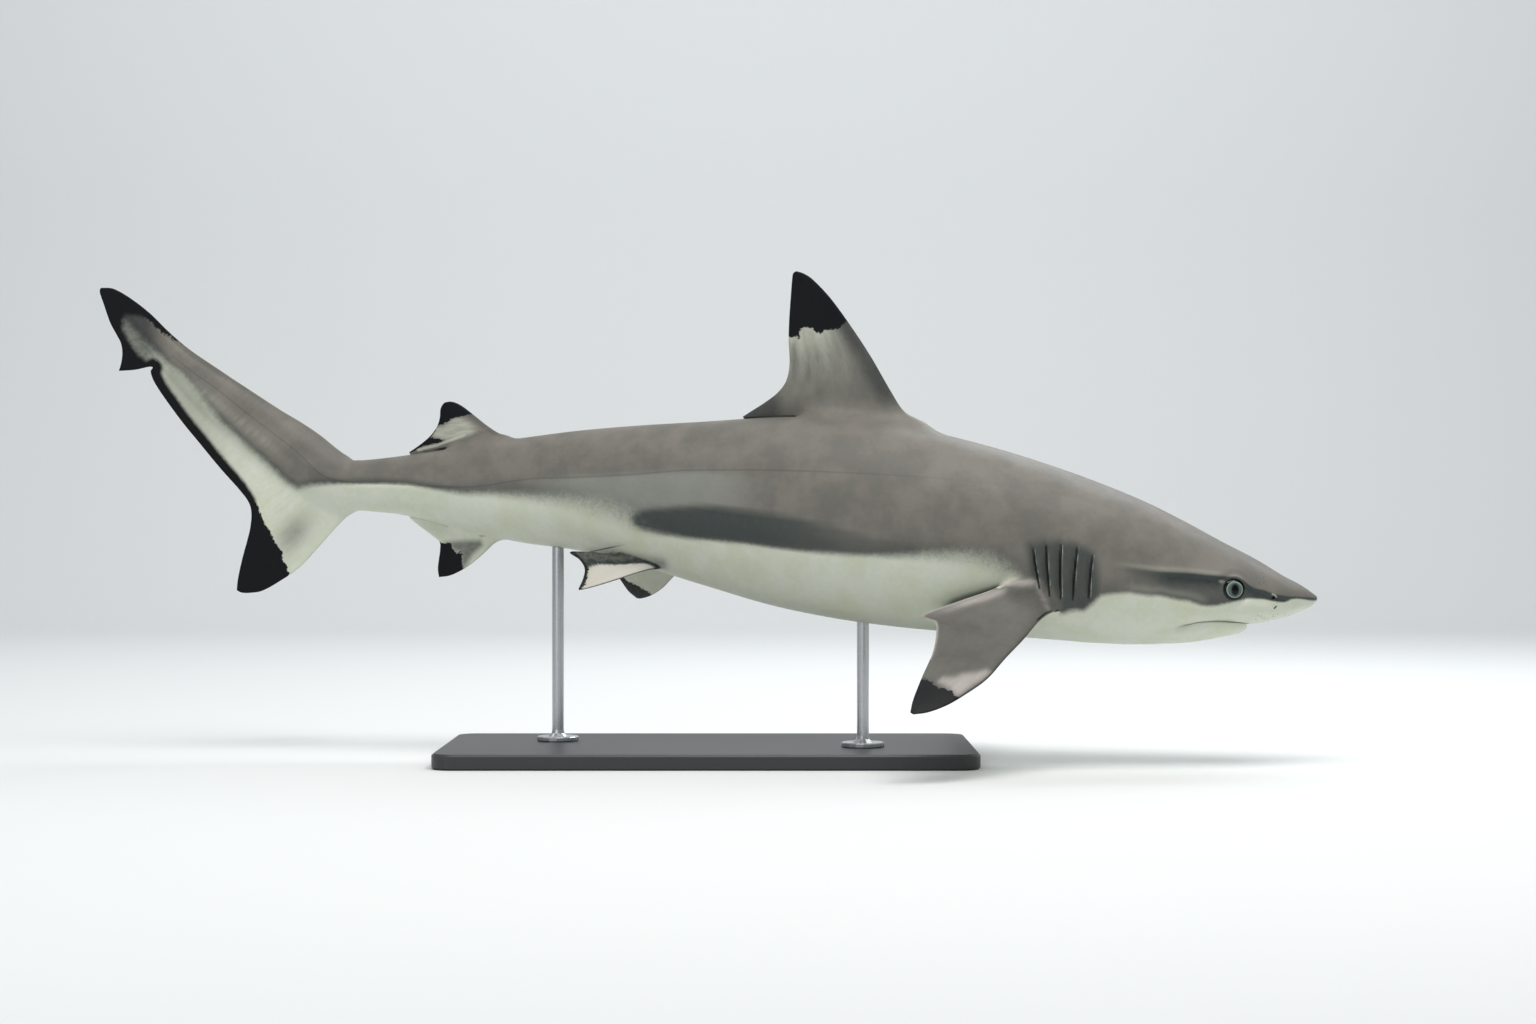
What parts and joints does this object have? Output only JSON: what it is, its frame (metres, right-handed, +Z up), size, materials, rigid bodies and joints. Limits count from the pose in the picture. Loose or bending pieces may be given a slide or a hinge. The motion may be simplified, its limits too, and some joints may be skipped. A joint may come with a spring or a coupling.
{
  "type": "blacktip reef shark display model",
  "caption": "Life-size still model of a blacktip reef shark swimming in a gentle curve, held by rods over a flat display base.",
  "frame": {"origin": "middle of the underside of the stand's base", "axes": "+X towards the shark's snout, +Y towards its left side, +Z up"},
  "size_m": [1.4351, 0.5177, 0.5705],
  "materials": {
    "skin_back": "painted cast skin: brown-grey back, off-white belly, black fin tips, satin",
    "skin_belly": "painted cast skin, off-white, satin",
    "eye": "clear glossy eye, pale iris, black oval pupil",
    "base": "satin charcoal paint",
    "rod": "brushed"
  },
  "bodies": {
    "root": {"head": "skin_back", "gill_region": "skin_back", "trunk_front": "skin_back", "trunk_rear": "skin_back", "tail_stalk": "skin_back", "caudal_fin_upper_lobe": "skin_back", "caudal_fin_lower_lobe": "skin_back", "first_dorsal_fin": "skin_back", "second_dorsal_fin": "skin_back", "pectoral_fin_right": "skin_back", "pectoral_fin_left": "skin_back", "lower_jaw": "skin_belly", "anal_fin": "skin_belly", "pelvic_fin_right": "skin_belly", "pelvic_fin_left": "skin_belly", "eye_right": "eye", "eye_left": "eye", "stand_base": "base", "stand_rod_front": "rod", "stand_rod_rear": "rod"}
  },
  "joints": []
}
